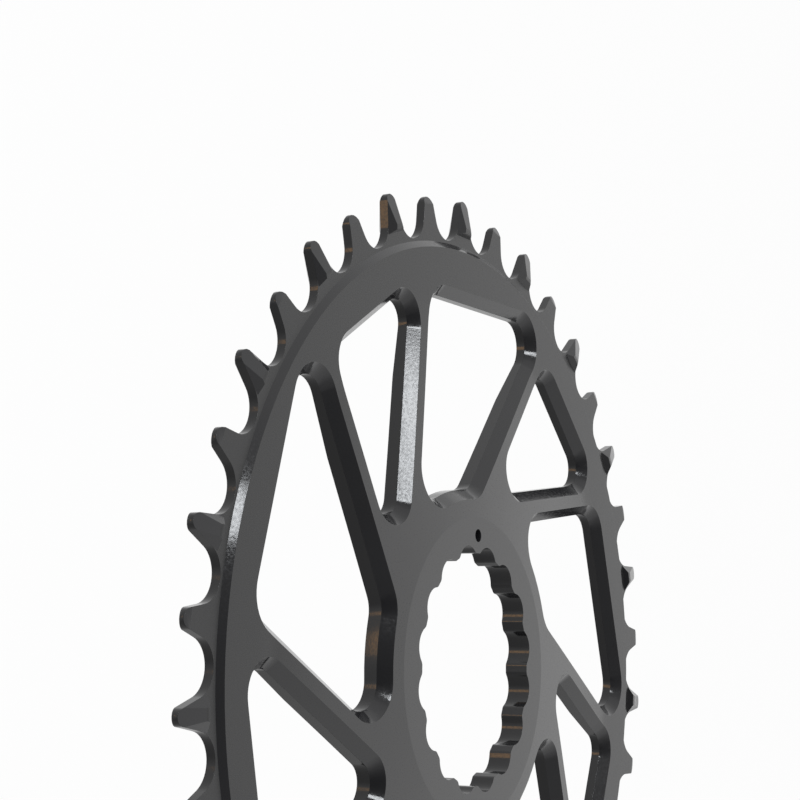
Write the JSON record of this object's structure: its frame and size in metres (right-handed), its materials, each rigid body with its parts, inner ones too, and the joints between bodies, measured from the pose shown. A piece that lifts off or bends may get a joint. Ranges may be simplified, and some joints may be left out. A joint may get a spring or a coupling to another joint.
{
  "type": "bicycle chainring",
  "caption": "One-piece dished bicycle chainring with alternating wide and narrow teeth, forked leaning spokes and a scalloped spline bore.",
  "frame": {"origin": "on the bore's axis, level with the flat back of the rim that the ring lies on", "axes": "+Z along the bore's axis, towards the raised front of the hub; +Y through the tip of a wide tooth"},
  "size_m": [0.1614, 0.161, 0.0058],
  "materials": {
    "black_anodised": "satin black anodised"
  },
  "bodies": {
    "root": {"chainring": "black_anodised"}
  },
  "joints": []
}
